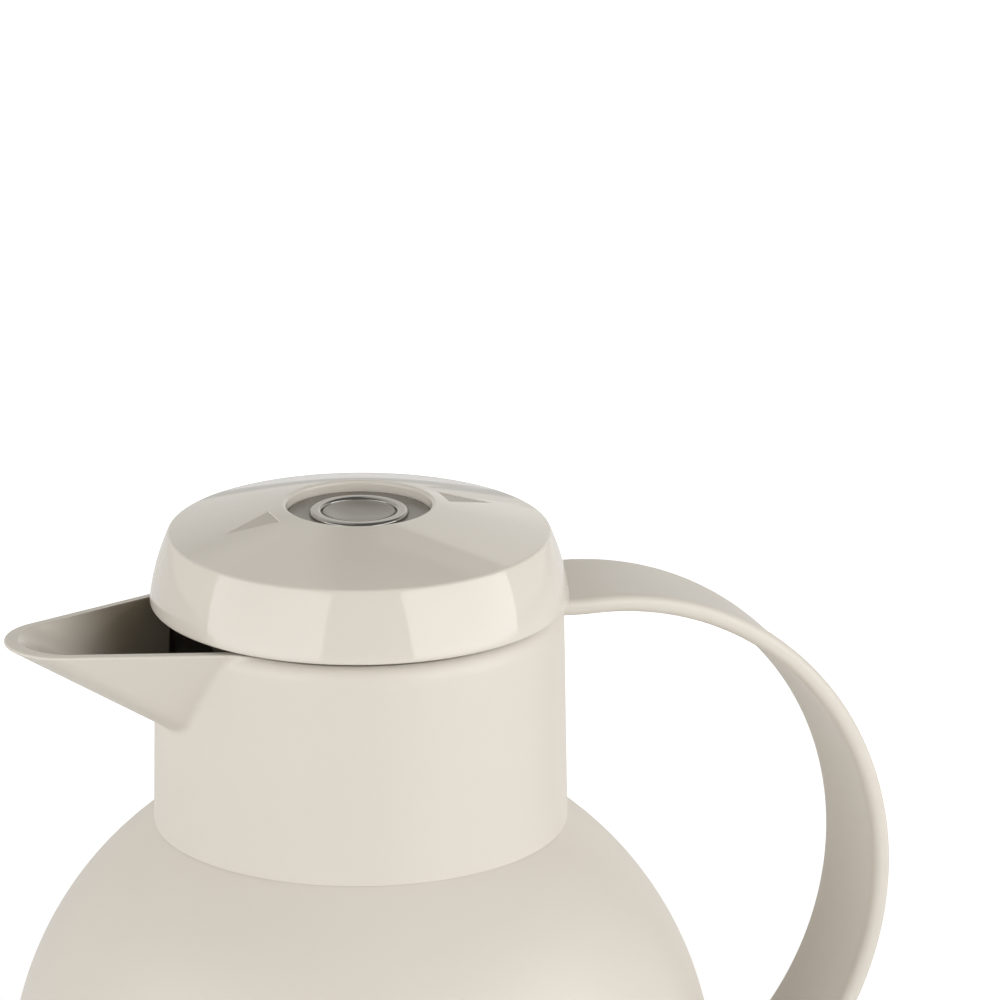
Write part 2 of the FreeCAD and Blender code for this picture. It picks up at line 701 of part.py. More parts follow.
def handle_and_seats(lower_moulding, collar_moulding):
    corners, arcs = handle_section()
    band = handle_arc("handle_band", corners, arcs, S.ball_radius + S.seam_gap, neck_radius + S.seam_gap)
    reach = S.tenon_depth
    tongue = handle_arc("handle_tongue", tongue_section(as_size(0)), None,
                        S.ball_radius - reach, neck_radius - reach)
    joined("Part::Fuse", "handle", band, tongue)
    room = S.seam_gap
    mortise = handle_arc("handle_mortise", tongue_section(room), None,
                         S.ball_radius - reach - room, neck_radius - reach - room)
    joined("Part::Cut", "lower_shell", lower_moulding, mortise)
    joined("Part::Cut", "neck_collar", collar_moulding, mortise)


# The lid: cover, stopper with its windows and deck, gaskets and washer

def lid_cover():
    inside = shoulder_radius - S.lid_wall
    sleeve = S.lid_hole + S.lid_sleeve_wall
    under = S.lid_wall
    cover = turned_piece("lid_cover", [
        (flange_radius + S.seam_gap, lid_foot), (lid_radius, lid_foot), (shoulder_radius, lid_shoulder),
        (S.lid_hole, lid_top), (S.lid_hole, sleeve_foot), (sleeve, sleeve_foot),
        (sleeve, lid_top - S.lid_sleeve_wall * cone_slope - under),
        (inside, lid_shoulder + (shoulder_radius - inside) * cone_slope - under),
        (inside, flange_top), (flange_radius + S.seam_gap, flange_top),
    ], {1: (S.lid_side_arc, 1)})
    rounded(cover, "lid_shoulder_round", S.lid_edge, shoulder_radius, lid_shoulder)
    rounded(cover, "lid_rim_round", S.lid_rim_edge, lid_radius, lid_foot)
    rounded(cover, "lid_hole_round", S.lid_hole_edge, S.lid_hole, lid_top)


def stopper_body():
    plate_top = stopper_foot + S.stopper_plate
    seal_top = deck_foot + S.stem_seal_height
    low_inside = groove_radius - S.barrel_wall
    step = stopper_shoulder + S.barrel_wall
    stopper = turned_piece("stopper_body", [
        (S.valve_opening, stopper_foot), (stopper_low, stopper_foot), (stopper_low, groove_foot),
        (groove_radius, groove_foot), (groove_radius, groove_top), (stopper_low, groove_top),
        (stopper_low, stopper_shoulder), (barrel, stopper_shoulder), (barrel, flange_foot),
        (flange_radius, flange_foot), (flange_radius, flange_top), (barrel_inside, flange_top),
        (barrel_inside, deck_top), (stem_bore, deck_top), (stem_bore, seal_top),
        (stem_seal_radius, seal_top), (stem_seal_radius, deck_foot), (barrel_inside, deck_foot),
        (barrel_inside, step), (low_inside, step), (low_inside, plate_top), (S.valve_opening, plate_top),
    ])
    window_top = deck_foot - S.soft_gap
    half = S.window_width / 2
    windows = new_sketch(stopper, "pour_windows", "YZ_Plane")
    outline(windows, rectangle(-half, window_top - S.window_height, half, window_top))
    pocket(stopper, "pour_windows_cut", windows, through=True)
    ring("stem_seal", S.stem_radius + S.stem_fit, stem_seal_radius, deck_foot, seal_top)


def lid_seals():
    ring("drip_washer", barrel + S.soft_gap, pour_bore + S.washer_width - S.soft_gap,
         pour_seat, pour_seat + S.washer_height)
    seat = groove_radius + S.run_gap
    low = groove_foot + S.run_gap
    high = groove_top - S.run_gap
    middle = (low + high) / 2
    lip = S.flask_mouth - S.soft_gap
    quarter = (high - low) / 4
    turned_piece("stopper_gasket", [
        (seat, low), (stopper_low, low), (lip, low + quarter), (stopper_low, middle),
        (lip, high - quarter), (stopper_low, high), (seat, high),
    ])


# The button and the valve it opens

def button_pieces():
    flange = button_radius + S.button_flange
    shoulder = boss + S.boss_shoulder
    socket_top = button_top - S.button_plate * 2
    groove_in = boss - S.clip_groove
    clip_top = clip_foot + S.clip_height
    socket = S.stem_radius
    turned_piece("push_button", [
        (0, button_top), (button_radius, button_top), (button_radius, button_stop), (flange, button_stop),
        (flange, button_foot), (button_inside, button_foot), (button_inside, button_top - S.button_plate),
        (shoulder, button_top - S.button_plate), (shoulder, boss_step), (boss, boss_step),
        (boss, clip_top), (groove_in, clip_top), (groove_in, clip_foot), (boss, clip_foot),
        (boss, boss_foot), (socket, boss_foot), (socket, socket_top), (0, socket_top),
    ])
    half = S.button_ring_width / 2
    crown = S.button_ring_height
    turned_piece("button_ring", [
        (S.button_ring_radius - half, button_top), (S.button_ring_radius + half, button_top),
        (S.button_ring_radius + half - crown / 2, button_top + crown),
        (S.button_ring_radius - half + crown / 2, button_top + crown),
    ])
    nut_foot = valve_foot - S.nut_height
    turned_piece("valve_stem", [
        (0, nut_foot), (S.stem_end, nut_foot), (S.stem_end, valve_top),
        (S.stem_radius, valve_top), (S.stem_radius, socket_top), (0, socket_top),
    ])
    dish = S.valve_height / 2
    turned_piece("valve_disc", [
        (S.stem_end, valve_foot), (S.valve_opening - S.valve_margin, valve_foot),
        (valve_radius, valve_foot + dish), (valve_radius, valve_top), (S.stem_end, valve_top),
    ])
    ring("valve_gasket", S.valve_opening - S.valve_margin, valve_radius, valve_top, stopper_foot)
    nut = new_body("stem_nut")
    sketch = new_sketch(nut, "nut_section", "XY_Plane", z=nut_foot)
    half_flats = S.nut_width / 2
    corner = half_flats / cosine(as_size(30))
    outline(sketch, [
        (corner, 0), (corner / 2, half_flats), (-corner / 2, half_flats),
        (-corner, 0), (-corner / 2, -half_flats), (corner / 2, -half_flats),
    ])
    pad = nut.newObject("PartDesign::Pad", "nut_pad")
    pad.Profile = sketch
    pad.setExpression("Length", S.nut_height.text)
    bore = new_sketch(nut, "nut_bore_profile", "XZ_Plane")
    outline(bore, rectangle(0, nut_foot, S.stem_end, valve_foot))
    cut = nut.newObject("PartDesign::Groove", "nut_bore")
    cut.Profile = bore
    cut.ReferenceAxis = (bore, ["V_Axis"])
    nodes["stem_nut"] = nut
    ring("rotor_clip", groove_in, groove_in + S.clip_width, clip_foot, clip_top)


# The latch: a rotor whose lugs run in sloping slots, so that it turns as the button goes down

def latch_pieces():
    rotor = new_body("latch_rotor")
    turned(rotor, "rotor_ring", [
        (boss + S.run_gap, rotor_foot), (rotor_outside, rotor_foot),
        (rotor_outside, rotor_top), (boss + S.run_gap, rotor_top),
    ])
    lug_sketch = new_sketch(rotor, "lug_section", "XY_Plane", z=lug_foot)
    half = S.lug_width / 2
    outline(lug_sketch, rectangle(boss + S.boss_wall, -half, sleeve_outside - S.run_gap, half))
    lug = rotor.newObject("PartDesign::Pad", "lug")
    lug.Profile = lug_sketch
    lug.setExpression("Length", S.lug_height.text)
    pattern(rotor, "lugs", lug)
    nodes["latch_rotor"] = rotor

    sleeve = new_body("latch_sleeve")
    turned(sleeve, "sleeve_tube", [
        (sleeve_inside, deck_top), (sleeve_outside, deck_top),
        (sleeve_outside, boss_step + S.sleeve_top), (sleeve_inside, boss_step + S.sleeve_top),
    ])
    swing = (sleeve_inside + sleeve_outside) / 2 * sine(S.lug_turn / 2)
    reach = half + S.slot_gap
    top = lug_foot + S.lug_height + S.slot_gap
    floor = lug_foot - S.slot_gap
    slot_sketch = new_sketch(sleeve, "slot_section", "YZ_Plane")
    outline(slot_sketch, [
        (-swing - reach, floor), (swing - reach, floor - S.button_travel),
        (swing + reach, floor - S.button_travel), (swing + reach, top - S.button_travel),
        (reach - swing, top), (-swing - reach, top),
    ])
    slot = pocket(sleeve, "slot", slot_sketch, sleeve_outside * 2, reverse=True)
    pattern(sleeve, "slots", slot)
    sleeve.setExpression("Placement.Rotation.Angle", (S.lug_turn / 2).text)
    nodes["latch_sleeve"] = sleeve


def pattern(body, name, feature):
    doc.recompute()
    copies = body.newObject("PartDesign::PolarPattern", name)
    copies.Originals = [feature]
    axis = [item for item in body.Origin.OriginFeatures if item.Role == "Z_Axis"][0]
    copies.Axis = (axis, [""])
    copies.Angle = 360
    copies.Occurrences = LATCH_LUGS
    body.Tip = copies


# The return spring: one tube along a helix, drawn as pairs of tangent arcs

def tangent_arc(start, direction, end):
    chord = end - start
    along = FreeCAD.Vector(chord).normalize()
    across = direction - along * direction.dot(along)
    bend = math.acos(max(-1.0, min(1.0, direction.dot(along))))
    middle = (start + end) * 0.5 + across.normalize() * (chord.Length / 2 * math.tan(bend / 2))
    return Part.Arc(start, middle, end).toShape()


def two_arcs(start, leaving, end, arriving):
    chord = end - start
    spread = 2 * (1 - leaving.dot(arriving))
    along = chord.dot(leaving + arriving)
    reach = (math.sqrt(along ** 2 + spread * chord.dot(chord)) - along) / spread
    joint = (start + end + (leaving - arriving) * reach) * 0.5
    first = tangent_arc(start, leaving, joint)
    second = tangent_arc(end, arriving * -1, joint)
    return [first, second]


def return_spring():
    wire = S.spring_wire.value
    across = (button_inside + S.spring_offset).value
    low = (deck_top + S.spring_end_gap).value + wire / 2
    high = (button_foot - S.spring_end_gap).value - wire / 2
    steps = SPRING_TURNS * ARCS_PER_TURN
    climb = (high - low) / (2 * math.pi * SPRING_TURNS)

    def at(step):
        angle = 2 * math.pi * step / ARCS_PER_TURN
        place = FreeCAD.Vector(across * math.cos(angle), across * math.sin(angle), low + climb * angle)
        way = FreeCAD.Vector(-across * math.sin(angle), across * math.cos(angle), climb).normalize()
        return place, way

    edges = []
    for step in range(steps):
        edges += two_arcs(*at(step), *at(step + 1))
    path = Part.Wire(Part.__sortEdges__(edges))
    place, way = at(0)
    section = Part.Wire(Part.Circle(place, way, wire / 2).toShape())
    spring = doc.addObject("Part::Feature", "return_spring")
    spring.Shape = path.makePipeShell([section], True, False)
    nodes["return_spring"] = spring

    points = [edge.valueAt(edge.FirstParameter + part * (edge.LastParameter - edge.FirstParameter) / 4)
              for edge in path.Edges for part in range(4)]
    apart = len(points) // (2 * SPRING_TURNS)
    least = min((a - b).Length for i, a in enumerate(points) for b in points[i + apart:]) - wire
    print(f"return spring: least gap to itself {least:.2f} mm")


lower_moulding, base_thread, base_rim = half_shells()
base_pieces(base_thread, base_rim)
flask_pieces()
collar_moulding = neck_collar()
pour_ring()
handle_and_seats(lower_moulding, collar_moulding)
lid_cover()
stopper_body()
lid_seals()
button_pieces()
latch_pieces()
return_spring()
doc.recompute()

for item in doc.Objects:
    if "Invalid" in item.State or "Error" in item.State:
        raise RuntimeError(f"{item.Label} did not build: {item.State}")
for label, item in nodes.items():
    if item.Shape.isNull() or not item.Shape.isValid() or not item.Shape.Solids:
        raise RuntimeError(f"{label} has no valid shape")

os.makedirs("parts", exist_ok=True)
for label, item in nodes.items():
    item.Shape.exportStep(f"parts/{label}.step")
print(f"{len(nodes)} pieces written")
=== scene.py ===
"""Looks of an insulated ball jug: lid, button, handle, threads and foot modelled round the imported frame."""

import json
import math

import bmesh
import bpy
from mathutils import Matrix, Vector

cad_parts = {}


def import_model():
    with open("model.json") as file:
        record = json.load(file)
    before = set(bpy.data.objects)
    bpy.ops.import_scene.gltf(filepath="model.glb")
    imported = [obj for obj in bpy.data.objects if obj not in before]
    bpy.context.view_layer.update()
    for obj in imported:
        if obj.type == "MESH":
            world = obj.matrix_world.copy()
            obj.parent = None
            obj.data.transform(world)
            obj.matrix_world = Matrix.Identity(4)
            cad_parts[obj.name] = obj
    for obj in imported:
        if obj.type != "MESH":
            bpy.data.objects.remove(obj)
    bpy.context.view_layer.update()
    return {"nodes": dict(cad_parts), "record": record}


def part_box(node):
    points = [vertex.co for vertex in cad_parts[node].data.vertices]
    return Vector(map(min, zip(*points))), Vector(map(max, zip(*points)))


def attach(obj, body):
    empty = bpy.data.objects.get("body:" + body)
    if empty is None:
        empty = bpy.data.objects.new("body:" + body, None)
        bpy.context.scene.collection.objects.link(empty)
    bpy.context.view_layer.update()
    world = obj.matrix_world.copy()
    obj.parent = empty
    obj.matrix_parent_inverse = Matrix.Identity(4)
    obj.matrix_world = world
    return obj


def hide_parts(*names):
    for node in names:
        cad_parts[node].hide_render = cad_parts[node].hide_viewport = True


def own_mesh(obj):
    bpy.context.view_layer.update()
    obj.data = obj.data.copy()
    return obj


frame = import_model()

MM = 0.001
UP = Vector((0, 0, 1))
MERGE = 0.002 * MM
TURN_STEPS = 192
SHARP_ANGLE = math.radians(38)

# Sizes of the solids that the pieces below stand for or sit on

LID_LOW, LID_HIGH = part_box("lid_cover")
TRIM_LOW, TRIM_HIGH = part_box("button_ring")
FOOT_LOW, FOOT_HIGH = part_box("foot_ring")
HANDLE_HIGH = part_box("handle")[1]
BUTTON_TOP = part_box("push_button")[1].z
POUR_RING_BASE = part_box("pour_ring")[0].z


# Mesh helpers

def wire(bm, points):
    """A chain of edges through (radius, height) points in the XZ plane; returns its vertices."""
    verts = [bm.verts.new((radius, 0, height)) for radius, height in points]
    for start, end in zip(verts, verts[1:]):
        bm.edges.new((start, end))
    return verts


def round_corner(bm, vert, radius, segments=8):
    """Round one corner of a chain of edges to a radius."""
    ways = [(edge.other_vert(vert).co - vert.co).normalized() for edge in vert.link_edges]
    half = ways[0].angle(ways[1]) / 2
    bmesh.ops.bevel(bm, geom=[vert], offset=radius / math.tan(half), offset_type="OFFSET", segments=segments,
                    profile=0.5, affect="VERTICES", material=-1, clamp_overlap=False)


def turned(points, rounds, closed=True, steps=TURN_STEPS):
    """Turn a profile of (radius, height) points about the jug's axis; rounds gives corner radii by index."""
    bm = bmesh.new()
    verts = wire(bm, points)
    if closed:
        bm.edges.new((verts[-1], verts[0]))
    for index, (radius, segments) in rounds.items():
        round_corner(bm, verts[index], radius, segments)
    bmesh.ops.spin(bm, geom=bm.verts[:] + bm.edges[:], cent=(0, 0, 0), axis=UP, angle=math.tau,
                   steps=steps, use_merge=True)
    tidy(bm)
    return bm


def bowed(start, end, bow, count):
    """Points on a shallow curve from start to end, without its ends, that bulges by bow to the right."""
    run = Vector(end) - Vector(start)
    out = Vector((run.y, -run.x)).normalized()
    shares = [step / count for step in range(1, count)]
    return [tuple(Vector(start) + run * share + out * bow * 4 * share * (1 - share)) for share in shares]


def fill_ends(bm):
    """Close the open ends of a swept outline."""
    bmesh.ops.holes_fill(bm, edges=[edge for edge in bm.edges if edge.is_boundary])


def tidy(bm):
    """Merge doubled points, drop faces without area and turn all normals outwards."""
    bmesh.ops.remove_doubles(bm, verts=bm.verts[:], dist=MERGE)
    bmesh.ops.dissolve_degenerate(bm, edges=bm.edges[:], dist=MERGE)
    bmesh.ops.recalc_face_normals(bm, faces=bm.faces[:])


def placed(name, data):
    """An object at the origin, in the scene."""
    obj = bpy.data.objects.new(name, data)
    bpy.context.scene.collection.objects.link(obj)
    return obj


def meshed(name, bm, material):
    """An object made of the mesh, in one material."""
    mesh = bpy.data.meshes.new(name)
    bm.to_mesh(mesh)
    bm.free()
    mesh.materials.append(material)
    return placed(name, mesh)


def finished(name, bm, body, material, stands_for=()):
    """Make the mesh an object that rides on a body and stands for CAD nodes."""
    piece = meshed(name, bm, material)
    piece.data.shade_smooth()
    piece.data.set_sharp_from_angle(angle=SHARP_ANGLE)
    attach(piece, body)
    if stands_for:
        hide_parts(*stands_for)
    return piece


# Shader helpers

FLOAT = "NodeSocketFloat"
COLOUR = "NodeSocketColor"
PALE_GREY = (0.8, 0.8, 0.8, 1)
DARK_GREY = (0.1, 0.1, 0.1, 1)

# Places of a Mix node's colour sockets, whose names are not unique
MIX_SHARE = 0
MIX_COLOURS = (6, 7)
MIX_RESULT = 2


def feed(tree, socket, value):
    """Link an input to another node's output, or set it to a plain value."""
    if isinstance(value, bpy.types.NodeSocket):
        tree.links.new(value, socket)
    else:
        socket.default_value = value


def node_group(name, inputs, outputs):
    """An empty shader group with float or colour sockets; returns group, its input node and output node."""
    group = bpy.data.node_groups.new(name, "ShaderNodeTree")
    for label, kind, value in inputs:
        socket = group.interface.new_socket(label, in_out="INPUT", socket_type=kind)
        socket.default_value = value
    for label, kind in outputs:
        group.interface.new_socket(label, in_out="OUTPUT", socket_type=kind)
    return group, group.nodes.new("NodeGroupInput"), group.nodes.new("NodeGroupOutput")


def coordinates(tree, kind="Object"):
    """Texture coordinates of one kind."""
    return tree.nodes.new("ShaderNodeTexCoord").outputs[kind]


def axes(tree, vector):
    """The X, Y and Z outputs of a vector."""
    node = tree.nodes.new("ShaderNodeSeparateXYZ")
    tree.links.new(vector, node.inputs[0])
    return node.outputs


def noise(tree, coords, scale, detail, roughness=0.5):
    """Cloudy noise from 0 to 1."""
    texture = tree.nodes.new("ShaderNodeTexNoise")
    for label, value in (("Vector", coords), ("Scale", scale), ("Detail", detail), ("Roughness", roughness)):
        feed(tree, texture.inputs[label], value)
    return texture.outputs["Fac"]


def spread(tree, value, low, high):
    """Map 0..1 onto low..high, each a number or a socket."""
    ranged = tree.nodes.new("ShaderNodeMapRange")
    for label, given in (("Value", value), ("To Min", low), ("To Max", high)):
        feed(tree, ranged.inputs[label], given)
    return ranged.outputs["Result"]


def ramp(tree, value, start, end):
    """A soft step from 0 at start to 1 at end."""
    ranged = tree.nodes.new("ShaderNodeMapRange")
    ranged.interpolation_type = "SMOOTHSTEP"
    for label, given in (("Value", value), ("From Min", start), ("From Max", end)):
        feed(tree, ranged.inputs[label], given)
    return ranged.outputs["Result"]


def maths(tree, operation, *values):
    """A Math node whose inputs are numbers or sockets."""
    node = tree.nodes.new("ShaderNodeMath")
    node.operation = operation
    for socket, value in zip(node.inputs, values):
        feed(tree, socket, value)
    return node.outputs[0]


def limited(tree, level, *limits):
    """A level that fades out by each limit, a value with the (start, end) of its soft step."""
    for value, step in limits:
        level = maths(tree, "MULTIPLY", level, ramp(tree, value, *step))
    return level


def mixed(tree, share, first, second):
    """A colour between two colours, each with four parts or a socket."""
    node = tree.nodes.new("ShaderNodeMix")
    node.data_type = "RGBA"
    tree.links.new(share, node.inputs[MIX_SHARE])
    for index, colour in zip(MIX_COLOURS, (first, second)):
        feed(tree, node.inputs[index], colour)
    return node.outputs[MIX_RESULT]


# Shader groups that several materials share

CLOUD_DETAIL = 3.0
GRAIN_DETAIL = 2.0
WAVE_DETAIL = 1.0
PATCH_DETAIL = 5.0
PATCH_ROUGHNESS = 0.6


def moulded_colour_group():
    """Faint cloudy change of colour that pigment leaves in moulded plastic."""
    group, source, result = node_group(
        "moulded_colour",
        [("Colour", COLOUR, PALE_GREY), ("Depth", FLOAT, 0.03), ("Scale", FLOAT, 28.0)],
        [("Colour", COLOUR)])
    cloud = noise(group, coordinates(group), source.outputs["Scale"], CLOUD_DETAIL)
    away = maths(group, "SUBTRACT", cloud, 0.5)
    depth = maths(group, "MULTIPLY_ADD", away, source.outputs["Depth"], 1.0)
    shade = group.nodes.new("ShaderNodeVectorMath")
    shade.operation = "SCALE"
    group.links.new(source.outputs["Colour"], shade.inputs[0])
    group.links.new(depth, shade.inputs["Scale"])
    group.links.new(shade.outputs["Vector"], result.inputs["Colour"])
    return group


def skin_group():
    """Height of a moulded skin: fine spark grain over a long soft waviness."""
    group, source, result = node_group(
        "moulded_skin",
        [("Grain Scale", FLOAT, 4000.0), ("Grain", FLOAT, 1.0),
         ("Wave Scale", FLOAT, 120.0), ("Wave", FLOAT, 0.0)],
        [("Height", FLOAT)])
    coords = coordinates(group)
    heights = []
    for name, detail in (("Grain", GRAIN_DETAIL), ("Wave", WAVE_DETAIL)):
        texture = noise(group, coords, source.outputs[name + " Scale"], detail)
        heights.append(maths(group, "MULTIPLY", texture, source.outputs[name]))
    group.links.new(maths(group, "ADD", *heights), result.inputs["Height"])
    return group


def gloss_group():
    """Roughness that changes in soft patches, as use leaves it."""
    group, source, result = node_group(
        "patchy_gloss",
        [("Low", FLOAT, 0.3), ("High", FLOAT, 0.4), ("Scale", FLOAT, 45.0)],
        [("Roughness", FLOAT)])
    patches = noise(group, coordinates(group), source.outputs["Scale"], PATCH_DETAIL, PATCH_ROUGHNESS)
    level = spread(group, patches, source.outputs["Low"], source.outputs["High"])
    group.links.new(level, result.inputs["Roughness"])
    return group


# Where the pour channel lies, and how far its walls and the neck's bore are painted darker as shade: its
# flanks spread by a taper, and each pair is a soft limit's start and end

CHANNEL_TAPER = math.tan(math.radians(18))
CHANNEL_FLANK = 31.95 * MM
CHANNEL_SIDE = (CHANNEL_FLANK + 0.3 * MM, CHANNEL_FLANK)
CHANNEL_END = (-34 * MM, -36 * MM)
CHANNEL_PAINTED_SHADE = (-66 * MM, -47 * MM)
CHANNEL_RISING = (0.02, 0.10)
CHANNEL_NOT_FLAT = (0.97, 0.90)
CHANNEL_GLOSS = 0.14
BORE_FACING = (-1 * MM, -6 * MM)
BORE_CORNER = (-31.5 * MM, -35.0 * MM)
BORE_PAINTED_SHADE = (-60 * MM, -47 * MM)


def throat_group():
    """The pour channel: glossy all along, and painted darker as shade from the spout's nose to the neck, and
    on the inner face of the neck's bore beside it.
    """
    group, source, result = node_group(
        "throat",
        [("Colour", COLOUR, PALE_GREY), ("Stained", COLOUR, DARK_GREY)],
        [("Colour", COLOUR), ("Inside", FLOAT)])
    place = axes(group, coordinates(group))
    facing = axes(group, coordinates(group, "Normal"))
    flank = maths(group, "MULTIPLY_ADD", place["X"], -CHANNEL_TAPER, maths(group, "ABSOLUTE", place["Y"]))
    inside = limited(group, ramp(group, place["X"], *CHANNEL_END), (flank, CHANNEL_SIDE),
                     (facing["Z"], CHANNEL_RISING), (facing["Z"], CHANNEL_NOT_FLAT))
    group.links.new(inside, result.inputs["Inside"])
    # Painted shade: the channel's walls darken towards the neck, and so does the bore's inner face beside it,
    # where shade falls deep inside
    channel = limited(group, inside, (place["X"], CHANNEL_PAINTED_SHADE))
    inward = maths(group, "MULTIPLY_ADD", place["X"], facing["X"],
                   maths(group, "MULTIPLY", place["Y"], facing["Y"]))
    bore = limited(group, ramp(group, inward, *BORE_FACING), (place["X"], BORE_CORNER),
                   (place["X"], BORE_PAINTED_SHADE))
    total = maths(group, "MAXIMUM", channel, bore)
    colour = mixed(group, total, source.outputs["Colour"], source.outputs["Stained"])
    group.links.new(colour, result.inputs["Colour"])
    return group


GROUPS = {"colour": moulded_colour_group(), "skin": skin_group(), "gloss": gloss_group(),
          "throat": throat_group()}


def placed_group(material, kind, **values):
    """A shader group in a material, with its own values."""
    node = material.node_tree.nodes.new("ShaderNodeGroup")
    node.node_tree = GROUPS[kind]
    for label, value in values.items():
        node.inputs[label.replace("_", " ").title()].default_value = value
    return node


# Materials

SKIN_HEIGHT = 0.1 * MM
DULL_ROUGHNESS = 0.62
# How much darker the sunk arrows' faces are painted, as shade in the recess
DULL_PAINTED_SHADE = 0.87


def plastic(name, colour, rough, grain, depth=0.03, bump=0.05, wave=0.0, wave_scale=120.0, settings=None,
            dulled_and_shaded=None, stained=None):
    """A moulded material: clouded colour, patches in the roughness and a grained skin.

    dulled names a face attribute that makes faces matt and paints them darker as shade in the sunk arrows,
    and stained is the colour of the painted shade in the pour channel and the neck's bore.
    """
    material = bpy.data.materials.new(name)
    material.use_nodes = True
    material.diffuse_color = (*colour, 1)
    tree = material.node_tree
    shader = tree.nodes["Principled BSDF"]
    hue = placed_group(material, "colour", colour=(*colour, 1), depth=depth).outputs["Colour"]
    level = placed_group(material, "gloss", low=rough[0], high=rough[1]).outputs["Roughness"]
    # Painted shade: the throat group darkens the pour channel and the neck's bore towards the neck
    if stained:
        throat = placed_group(material, "throat", stained=(*stained, 1))
        tree.links.new(hue, throat.inputs["Colour"])
        hue = throat.outputs["Colour"]
        level = spread(tree, throat.outputs["Inside"], level, CHANNEL_GLOSS)
    if dulled_and_shaded:
        attribute = tree.nodes.new("ShaderNodeAttribute")
        attribute.attribute_name = dulled_and_shaded
        mask = attribute.outputs["Fac"]
        level = spread(tree, mask, level, DULL_ROUGHNESS)
        # Painted shade: the dulled faces also get a darker copy of the colour, standing in for the shade in
        # the sunk arrows
        hue = mixed(tree, mask, hue, (*(DULL_PAINTED_SHADE * share for share in colour), 1))
    tree.links.new(hue, shader.inputs["Base Color"])
    tree.links.new(level, shader.inputs["Roughness"])
    skin = placed_group(material, "skin", grain_scale=grain, wave=wave, wave_scale=wave_scale)
    relief = tree.nodes.new("ShaderNodeBump")
    relief.inputs["Strength"].default_value = bump
    relief.inputs["Distance"].default_value = SKIN_HEIGHT
    tree.links.new(skin.outputs["Height"], relief.inputs["Height"])
    tree.links.new(relief.outputs["Normal"], shader.inputs["Normal"])
    for label, value in (settings or {}).items():
        shader.inputs[label].default_value = value
    return material


GREIGE = (0.716, 0.671, 0.602)
FINE_GRAIN = 5200.0
SATIN = (0.35, 0.43)
METAL = {"Metallic": 1.0}
DULLED_SHADED_FACES = "dulled_and_shaded"

MATERIALS = {
    "body_plastic": plastic("satin_housing", GREIGE, SATIN, FINE_GRAIN, bump=0.10),
    "lid_plastic": plastic("gloss_lid", GREIGE, rough=(0.05, 0.09), grain=FINE_GRAIN, depth=0.015, bump=0.008,
                           wave=1.0, wave_scale=160.0, dulled_and_shaded=DULLED_SHADED_FACES),
    "stopper_plastic": plastic("dark_stopper", (0.058, 0.050, 0.040), rough=(0.34, 0.46), grain=4200.0,
                               bump=0.10),
    "silicone": plastic("milky_silicone", (0.52, 0.50, 0.46), rough=(0.45, 0.60), grain=3000.0, bump=0.08),
    "flask_glass": plastic("silvered_glass", (0.83, 0.84, 0.86), rough=(0.03, 0.08), grain=900.0, bump=0.02,
                           wave=1.0, wave_scale=60.0, settings=METAL),
    "steel": plastic("plain_steel", (0.60, 0.60, 0.61), rough=(0.22, 0.34), grain=2600.0, bump=0.05,
                     settings=METAL),
    "foot_rubber": plastic("soft_rubber", (0.055, 0.053, 0.051), rough=(0.62, 0.78), grain=2200.0, depth=0.1,
                           bump=0.3),
}
# The collar's pour channel and bore are painted darker as shade
COLLAR_PLASTIC = plastic("satin_collar", GREIGE, SATIN, FINE_GRAIN, bump=0.10, stained=(0.235, 0.20, 0.15))
BUTTON_GREY = plastic("button_grey", (0.19, 0.172, 0.138), rough=(0.20, 0.28), grain=FINE_GRAIN, bump=0.04)
DARK_CHROME = plastic("dark_chrome", (0.30, 0.29, 0.27), rough=(0.08, 0.16), grain=3000.0, bump=0.02,
                      settings=METAL)

for part in frame["record"]["subparts"]:
    for material_slot in frame["nodes"][part["node"]].material_slots:
        material_slot.material = MATERIALS[part["material_slot"]]
frame["nodes"]["push_button"].material_slots[0].material = BUTTON_GREY
frame["nodes"]["neck_collar"].material_slots[0].material = COLLAR_PLASTIC


# The lid: a turned cap with two sunk arrows that point to spout and handle

LID_SHOULDER_DROP = 6.2 * MM
LID_TAPER = 4.05 * MM
LID_SIDE_BOW = 0.62 * MM
LID_SIDE_STEPS = 14
LID_WALL = 2.2 * MM
LID_HOLE = 15.15 * MM
LID_SLEEVE = 11.3 * MM
LID_SLEEVE_WALL = 1.75 * MM
LID_RIM_RISE = 3.9 * MM
LID_SEAT = 41.57 * MM
LID_EDGE_ROUND = (0.3 * MM, 3)
LID_FOOT_ROUND = (0.6 * MM, 5)
LID_CREASE_ROUND = (0.9 * MM, 6)
LID_HOLE_ROUND = (0.8 * MM, 6)
ARROW_BASE = 18.7 * MM
ARROW_TIP = 30.0 * MM
ARROW_HALF = 3.8 * MM
ARROW_NEAR = 3 * ARROW_HALF
ARROW_DEPTH = 0.14 * MM
ARROW_SLOPE = 0.12 * MM
CONE_FACING = 0.8


